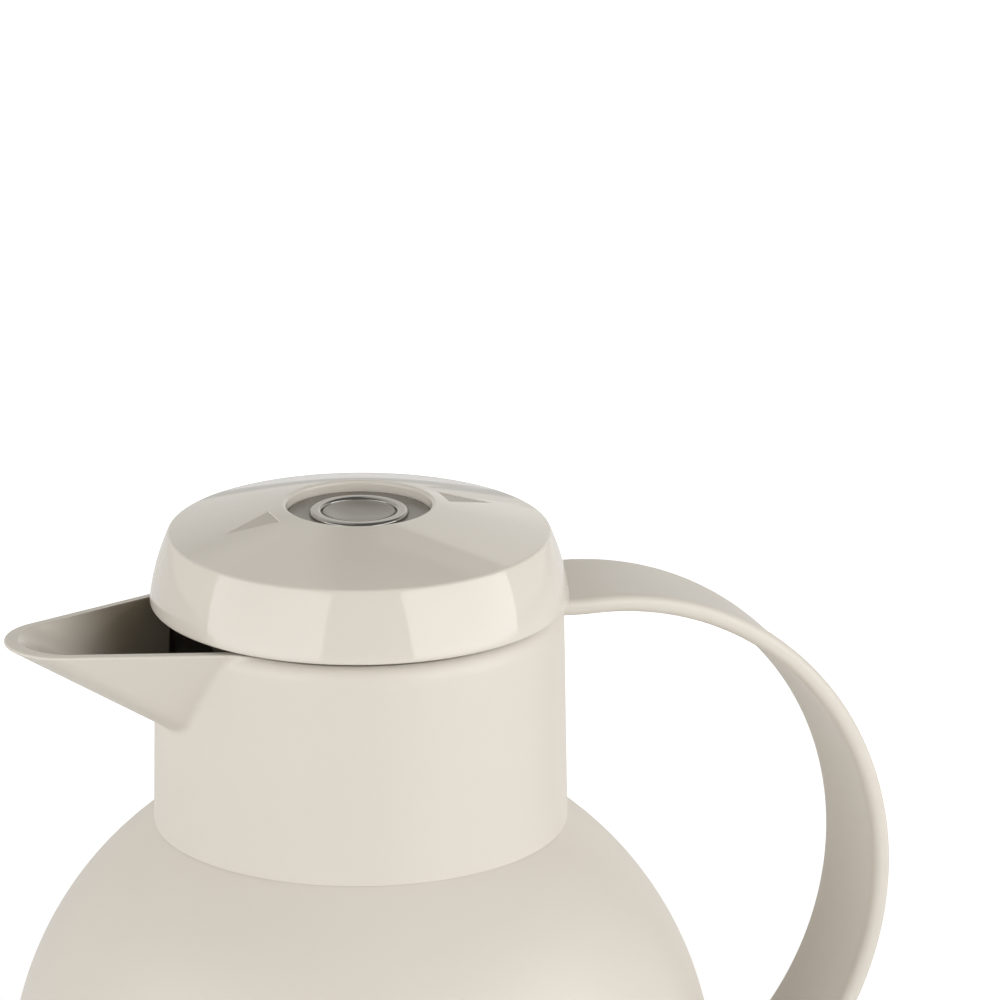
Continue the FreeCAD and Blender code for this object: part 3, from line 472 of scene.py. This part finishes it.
def sink_arrow(bm, side):
    """Cut a triangle into the cone's faces on one side of the axis and press it in."""
    base = side * ARROW_BASE
    tip = side * ARROW_TIP
    corners = [Vector((base, -ARROW_HALF, 0)), Vector((tip, 0, 0)), Vector((base, ARROW_HALF, 0))]
    middle = sum(corners, Vector()) / 3
    shoulder = LID_HIGH.z - LID_SHOULDER_DROP
    dulled_and_shaded = bm.faces.layers.float[DULLED_SHADED_FACES]

    def on_cone(face):
        centre = face.calc_center_median()
        return (face.normal.z > CONE_FACING and centre.z > shoulder and LID_HOLE < centre.xy.length < LID_SEAT
                and side * centre.x > 0 and abs(centre.y) < ARROW_NEAR)

    outlines = []
    for start, end in zip(corners, corners[1:] + corners[:1]):
        across = (end - start).cross(UP).normalized()
        if (middle - start).dot(across) > 0:
            across = -across
        outlines.append((start, across))
        faces = [face for face in bm.faces if on_cone(face)]
        edges = list({edge for face in faces for edge in face.edges})
        verts = list({vert for face in faces for vert in face.verts})
        bmesh.ops.bisect_plane(bm, geom=faces + edges + verts, dist=MERGE, plane_co=start, plane_no=across)

    def in_outline(face):
        centre = face.calc_center_median()
        return all((centre - start).dot(across) < 0 for start, across in outlines)

    sunk = [face for face in bm.faces if on_cone(face) and in_outline(face)]
    bmesh.ops.inset_region(bm, faces=sunk, thickness=ARROW_SLOPE, depth=0.0, use_even_offset=True)
    bmesh.ops.translate(bm, verts=list({vert for face in sunk for vert in face.verts}),
                        vec=(0, 0, -ARROW_DEPTH))
    # Mark the sunk faces to be drawn matt and painted darker as shade
    for face in sunk:
        face[dulled_and_shaded] = 1.0


def lid():
    """The cap: bowed side, crisp crease, sloping top, a sleeve round the button and a seat on the rim."""
    top = LID_HIGH.z
    foot = LID_LOW.z
    outer = LID_HIGH.x
    shoulder = top - LID_SHOULDER_DROP
    shoulder_radius = outer - LID_TAPER
    slope = LID_SHOULDER_DROP / (shoulder_radius - LID_HOLE)
    sleeve = LID_HOLE + LID_SLEEVE_WALL
    inside = shoulder_radius - LID_WALL
    side = bowed((outer, foot), (shoulder_radius, shoulder), LID_SIDE_BOW, LID_SIDE_STEPS)
    crease = 2 + len(side)
    points = [
        (LID_SEAT, foot), (outer, foot), *side, (shoulder_radius, shoulder), (LID_HOLE, top),
        (LID_HOLE, top - LID_SLEEVE), (sleeve, top - LID_SLEEVE),
        (sleeve, top - LID_SLEEVE_WALL * slope - LID_WALL),
        (inside, shoulder + (shoulder_radius - inside) * slope - LID_WALL),
        (inside, foot + LID_RIM_RISE), (LID_SEAT, foot + LID_RIM_RISE),
    ]
    rounds = {0: LID_EDGE_ROUND, 1: LID_FOOT_ROUND, crease: LID_CREASE_ROUND, crease + 1: LID_HOLE_ROUND,
              crease + 2: LID_EDGE_ROUND}
    bm = turned(points, rounds)
    bm.faces.layers.float.new(DULLED_SHADED_FACES)
    for way in (-1, 1):
        sink_arrow(bm, way)
    return finished("lid_cap", bm, "lid", MATERIALS["lid_plastic"], ("lid_cover",))


# The button: a trim ring with a shallow dish inside it

TRIM_WIDE = 2.6 * MM
TRIM_ROUND = (0.75 * MM, 8)
TRIM_STEPS = 128
DISH_INSET = 2.8 * MM
DISH_LIP_HIGH = 0.6 * MM
DISH_LIP_WIDE = 0.5 * MM
DISH_FLOOR = 0.15 * MM
DISH_BOW = 0.18 * MM
DISH_BOW_STEPS = 8
DISH_ROUND = (0.25 * MM, 4)
DISH_STEPS = 96


def button_trim():
    """A flat ring with a round top."""
    low, high = TRIM_LOW.z, TRIM_HIGH.z
    outer = TRIM_HIGH.x
    inner = outer - TRIM_WIDE
    points = [(inner, low), (outer, low), (outer, high), (inner, high)]
    bm = turned(points, {2: TRIM_ROUND, 3: TRIM_ROUND}, steps=TRIM_STEPS)
    return finished("button_trim", bm, "button", DARK_CHROME, ("button_ring",))


def button_dish():
    """A shallow dish on the button, inside the trim ring."""
    base = BUTTON_TOP
    reach = TRIM_HIGH.x - DISH_INSET
    lip = base + DISH_LIP_HIGH
    edge = (reach - DISH_LIP_WIDE, lip)
    middle = (0.0, base + DISH_FLOOR)
    points = [(0.0, base), (reach, base), (reach, lip), edge,
              *bowed(edge, middle, -DISH_BOW, DISH_BOW_STEPS), middle]
    bm = turned(points, {2: DISH_ROUND}, closed=False, steps=DISH_STEPS)
    return finished("button_dish", bm, "button", BUTTON_GREY)


# The return spring


def button_spring():
    """The coil itself, a merged copy of the CAD spring that rides on the lid."""
    bm = bmesh.new()
    bm.from_mesh(frame["nodes"]["return_spring"].data)
    bmesh.ops.remove_doubles(bm, verts=bm.verts[:], dist=MERGE)
    piece = finished("button_spring", bm, "lid", MATERIALS["steel"], ("return_spring",))
    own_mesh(piece)
    return piece


# The handle: a band on one arc with round edges, faintly hollowed, whose ends run into neck and ball

HANDLE_ARC = 68.9 * MM
HANDLE_SWEEP = math.radians(150)
HANDLE_STEPS = 120
HANDLE_THICK = 3.9 * MM
HANDLE_HALF = 14.0 * MM
HANDLE_BEAD = 3.2 * MM
HANDLE_HOLLOW = 0.45 * MM
HANDLE_WEB_STEPS = 12
HANDLE_EDGE = 1.75 * MM
HANDLE_SOFT = 6.0 * MM
HANDLE_SEAT_NECK = 40.5 * MM
HANDLE_SEAT_BALL = 73.6 * MM
BALL_CENTRE = Vector((0, 0, 62.0 * MM))


def handle_section(bm, centre):
    """The band's outline across its arc, as a closed chain of edges in the plane of the arc's axis."""
    half = HANDLE_HALF
    bead = half - HANDLE_BEAD
    chain = []
    for face, way in ((HANDLE_ARC, 1), (HANDLE_ARC - HANDLE_THICK, -1)):
        low, high = -way * bead, way * bead
        web = bowed((face, low), (face, high), -HANDLE_HOLLOW, HANDLE_WEB_STEPS)
        chain += [(face, -way * half, HANDLE_EDGE), (face, low, HANDLE_SOFT)]
        chain += [(*point, 0.0) for point in web]
        chain += [(face, high, HANDLE_SOFT), (face, way * half, HANDLE_EDGE)]
    verts = [bm.verts.new((centre.x + reach, across, centre.z)) for reach, across, _ in chain]
    for start, end in zip(verts, verts[1:] + verts[:1]):
        bm.edges.new((start, end))
    for vert, (_, _, radius) in zip(verts, chain):
        if radius:
            round_corner(bm, vert, radius)


def end_angles(reach, across, centre):
    """Angles on the arc at which a line of the band sinks into the ball below and the neck above."""
    neck = math.sqrt(HANDLE_SEAT_NECK ** 2 - across ** 2)
    above = math.acos((neck - centre.x) / reach)
    away = centre - BALL_CENTRE
    span = HANDLE_SEAT_BALL ** 2 - across ** 2 - away.length_squared - reach ** 2
    below = math.atan2(away.z, away.x) - math.acos(span / (2 * reach * away.length))
    return below, above


def handle():
    """The band swept along its arc; past the arc's top it climbs on to the neck."""
    centre = Vector((HANDLE_HIGH.x - HANDLE_ARC, 0, HANDLE_HIGH.z - HANDLE_ARC))
    bm = bmesh.new()
    handle_section(bm, centre)
    bmesh.ops.spin(bm, geom=bm.verts[:] + bm.edges[:], cent=centre, axis=(0, -1, 0), angle=HANDLE_SWEEP,
                   steps=HANDLE_STEPS)
    for vert in bm.verts:
        way = vert.co - centre
        across = vert.co.y
        reach = math.hypot(way.x, way.z)
        share = (math.atan2(way.z, way.x) % math.tau) / HANDLE_SWEEP
        below, above = end_angles(reach, across, centre)
        angle = below + share * (above - below)
        rise = math.sin(angle)
        if angle > math.pi / 2:
            rise = 2 - rise
        vert.co = centre + Vector((reach * math.cos(angle), across, reach * rise))
    fill_ends(bm)
    tidy(bm)
    return finished("handle_band", bm, "jug", MATERIALS["body_plastic"], ("handle",))


# The foot: a soft ring with round edges

FOOT_WIDE = 5.0 * MM
FOOT_ROUND = (0.35 * MM, 4)
FOOT_STEPS = 160


def foot():
    """A flat ring, rounded along its lower edges."""
    low, high = FOOT_LOW.z, FOOT_HIGH.z
    outer = FOOT_HIGH.x
    inner = outer - FOOT_WIDE
    points = [(inner, low), (outer, low), (outer, high), (inner, high)]
    bm = turned(points, {0: FOOT_ROUND, 1: FOOT_ROUND}, steps=FOOT_STEPS)
    return finished("foot_tread", bm, "jug", MATERIALS["foot_rubber"], ("foot_ring",))


# The stopper's thread: short ridges that climb round its barrel

BARREL_RADIUS = 31.2 * MM
THREAD_BASE = 1.25 * MM
THREAD_LEAD = 18.0 * MM
THREAD_HIGH = 0.55 * MM
THREAD_ROOT = 0.3 * MM
THREAD_THICK = 1.5 * MM
THREAD_CREST = 0.3
THREAD_SPAN = math.radians(30)
THREAD_STARTS = 6
THREAD_STEPS = 16


def stopper_thread():
    """One short ridge for each start, swept round the barrel and upwards."""
    bm = bmesh.new()
    low = POUR_RING_BASE + THREAD_BASE
    root = BARREL_RADIUS - THREAD_ROOT
    crest = BARREL_RADIUS + THREAD_HIGH
    half = THREAD_THICK / 2
    flat = half * THREAD_CREST
    climb = THREAD_SPAN / math.tau * THREAD_LEAD / THREAD_STEPS
    corners = [(root, low - half), (crest, low - flat), (crest, low + flat), (root, low + half)]
    for start in range(THREAD_STARTS):
        turn = Matrix.Rotation(math.tau * start / THREAD_STARTS, 3, "Z")
        verts = [bm.verts.new(turn @ Vector((radius, 0, height))) for radius, height in corners]
        edges = [bm.edges.new(pair) for pair in zip(verts, verts[1:] + verts[:1])]
        bmesh.ops.spin(bm, geom=verts + edges, cent=(0, 0, 0), axis=UP, dvec=(0, 0, climb), angle=THREAD_SPAN,
                       steps=THREAD_STEPS)
    fill_ends(bm)
    tidy(bm)
    return finished("stopper_thread", bm, "lid", MATERIALS["stopper_plastic"])


# Camera and lamps

CAMERA_PLACE = Vector((-0.5089, -1.4075, 0.6729))
CAMERA_AIM = Vector((0.02738, -0.01051, 0.19247))
CAMERA_LENS = 272.16
CAMERA_SENSOR = 36.0
CAMERA_FAR = 50.0
LAMP_AIM = Vector((0, 0, 0.14))


def aimed(obj, place, target):
    """Put a camera or lamp at a place and turn it to a target."""
    turn = (target - place).to_track_quat("-Z", "Y").to_matrix().to_4x4()
    obj.matrix_world = Matrix.Translation(place) @ turn


def camera():
    """The camera, fitted to the outlines of lid, neck and ball."""
    data = bpy.data.cameras.new("photo_camera")
    data.lens = CAMERA_LENS
    data.sensor_width = CAMERA_SENSOR
    data.sensor_fit = "HORIZONTAL"
    data.clip_end = CAMERA_FAR
    obj = placed("photo_camera", data)
    aimed(obj, CAMERA_PLACE, CAMERA_AIM)
    bpy.context.scene.camera = obj


def softbox(name, azimuth, distance, height, width, tall, radiance, mirrored=True):
    """A large area lamp; azimuth is degrees to the right of the camera, seen from the jug."""
    way = math.atan2(CAMERA_PLACE.y, CAMERA_PLACE.x) + math.radians(azimuth)
    data = bpy.data.lights.new(name, "AREA")
    data.shape = "RECTANGLE"
    data.size = width
    data.size_y = tall
    data.energy = radiance * math.pi * width * tall
    obj = placed(name, data)
    obj.visible_glossy = mirrored
    aimed(obj, Vector((distance * math.cos(way), distance * math.sin(way), height)), LAMP_AIM)


# The studio: light on surfaces, and what gloss mirrors; pairs are soft limits of directions

WARM_WALLS = (1.0, 0.975, 0.925, 1)
WHITE = (1, 1, 1, 1)
BEHIND = (-0.5, 0.3)
RISE = (0.30, 0.75)
HORIZON = (0.04, 0.20)
FRONT_FILL = 0.36
BACK_FILL = 0.50
HIGH_FILL = 0.27
FRONT_GLOSS = 0.25
HORIZON_GLOSS = 0.98
BAND_GLOSS = 1.05
HIGH_GLOSS = 0.24

FAR_SIDE = (0.0, 0.2)
CARD_TOP = 0.66
CARD_HIGH = 1.42
CARD_LOW = 1.30
CARD_CHANGE = (0.27, 0.60)
CARD_STEP = (0.595, 0.583)
CARD_UPPER_END = (0.683, 0.671)
CARD_LOWER_END = (0.02, 0.09)
CARD_LEFT_END = (0.02, 0.05)
CARD_RIGHT_END = (0.34, 0.24)
LEFT_GLOSS = 0.62
LEFT_START = (-0.02, -0.11)
LEFT_RISE = (0.45, 0.60)


def seen_ray(tree, first, *others):
    """1 where any of the named Light Path outputs is 1, else 0."""
    path = tree.nodes.new("ShaderNodeLightPath")
    total = path.outputs[first]
    for label in others:
        total = maths(tree, "MAXIMUM", total, path.outputs[label])
    return total


def heading(tree, way):
    """How far a direction points to the right of the view, and how far away from the camera."""
    back = -Vector((CAMERA_PLACE.x, CAMERA_PLACE.y)).normalized()
    return [maths(tree, "MULTIPLY_ADD", way["Y"], y_share, maths(tree, "MULTIPLY", way["X"], x_share))
            for x_share, y_share in ((back.y, -back.x), (back.x, back.y))]


def back_card(tree, right, away, high):
    """A tall white card behind the jug on the right, with a dimmer top, as a brightness that gloss shows."""
    bright = spread(tree, ramp(tree, high, *CARD_CHANGE), CARD_LOW, CARD_HIGH)
    level = spread(tree, ramp(tree, high, *CARD_STEP), CARD_TOP, bright)
    return limited(tree, level, (high, CARD_UPPER_END), (high, CARD_LOWER_END), (right, CARD_LEFT_END),
                   (right, CARD_RIGHT_END), (away, FAR_SIDE))


def left_glow(tree, right, away, high):
    """A soft patch of light high behind the jug on the left, as a brightness that gloss shows."""
    level = spread(tree, ramp(tree, right, *LEFT_START), 0.0, LEFT_GLOSS)
    return limited(tree, level, (high, LEFT_RISE), (away, FAR_SIDE))


def world():
    """White to the camera, warm walls as light, and bands and cards to glossy rays."""
    studio = bpy.data.worlds.new("studio")
    bpy.context.scene.world = studio
    studio.use_nodes = True
    tree = studio.node_tree
    shade = tree.nodes["Background"]
    seen = seen_ray(tree, "Is Camera Ray")
    tree.links.new(mixed(tree, seen, WARM_WALLS, WHITE), shade.inputs["Color"])
    way = axes(tree, coordinates(tree, "Generated"))
    high = way["Z"]
    right, away = heading(tree, way)
    behind = ramp(tree, away, *BEHIND)
    rise = ramp(tree, high, *RISE)
    band = spread(tree, ramp(tree, high, *HORIZON), HORIZON_GLOSS, BAND_GLOSS)
    fill = spread(tree, rise, spread(tree, behind, FRONT_FILL, BACK_FILL), HIGH_FILL)
    gloss = spread(tree, rise, spread(tree, behind, FRONT_GLOSS, band), HIGH_GLOSS)
    gloss = maths(tree, "ADD", gloss, left_glow(tree, right, away, high))
    gloss = maths(tree, "MAXIMUM", gloss, back_card(tree, right, away, high))
    unseen = spread(tree, seen_ray(tree, "Is Glossy Ray", "Is Transmission Ray"), fill, gloss)
    tree.links.new(spread(tree, seen, unseen, 1.0), shade.inputs["Strength"])


# The floor: white, with a shadow near the jug, and clear from below

FLOOR_REACH = 6.0
FLOOR_DROP = 0.05 * MM
FLOOR_PAINT = (0.76, 0.76, 0.76, 1)
FLOOR_MIRRORED = 0.38
FLOOR_NEAR = 0.50
FLOOR_FAR = 0.86
FLOOR_CLEARS = (0.10, 0.55)


def floor_material():
    """White paint with a glow that hides the shadow's far end from the camera."""
    material = bpy.data.materials.new("white_floor")
    material.use_nodes = True
    tree = material.node_tree
    tree.nodes.remove(tree.nodes["Principled BSDF"])
    paint = tree.nodes.new("ShaderNodeBsdfDiffuse")
    paint.inputs["Color"].default_value = FLOOR_PAINT
    glow = tree.nodes.new("ShaderNodeEmission")
    mirrored = spread(tree, seen_ray(tree, "Is Glossy Ray", "Is Transmission Ray"), 0.0, FLOOR_MIRRORED)
    distance = tree.nodes.new("ShaderNodeVectorMath")
    distance.operation = "LENGTH"
    tree.links.new(coordinates(tree), distance.inputs[0])
    clear = spread(tree, ramp(tree, distance.outputs["Value"], *FLOOR_CLEARS), FLOOR_NEAR, FLOOR_FAR)
    tree.links.new(spread(tree, seen_ray(tree, "Is Camera Ray"), mirrored, clear), glow.inputs["Strength"])
    both = tree.nodes.new("ShaderNodeAddShader")
    tree.links.new(paint.outputs[0], both.inputs[0])
    tree.links.new(glow.outputs[0], both.inputs[1])
    from_below = tree.nodes.new("ShaderNodeMixShader")
    tree.links.new(tree.nodes.new("ShaderNodeNewGeometry").outputs["Backfacing"], from_below.inputs[0])
    tree.links.new(both.outputs[0], from_below.inputs[1])
    tree.links.new(tree.nodes.new("ShaderNodeBsdfTransparent").outputs[0], from_below.inputs[2])
    tree.links.new(from_below.outputs[0], tree.nodes["Material Output"].inputs["Surface"])
    return material


def floor():
    """One flat face just under the jug."""
    bm = bmesh.new()
    bmesh.ops.create_grid(bm, x_segments=1, y_segments=1, size=FLOOR_REACH)
    bmesh.ops.translate(bm, verts=bm.verts[:], vec=(0, 0, -FLOOR_DROP))
    meshed("studio_floor", bm, floor_material())


# Everything in its place

lid()
button_trim()
button_dish()
button_spring()
handle()
foot()
stopper_thread()

bpy.context.scene.view_settings.view_transform = "Standard"
camera()
world()
floor()
softbox("left_softbox", azimuth=-54.5, distance=1.30, height=0.40, width=1.86, tall=1.2, radiance=2.03)
softbox("right_softbox", azimuth=60.8, distance=1.30, height=0.40, width=1.74, tall=1.2, radiance=2.56)
softbox("back_softbox", azimuth=175.0, distance=1.60, height=0.35, width=1.8, tall=0.7, radiance=0.8,
        mirrored=False)
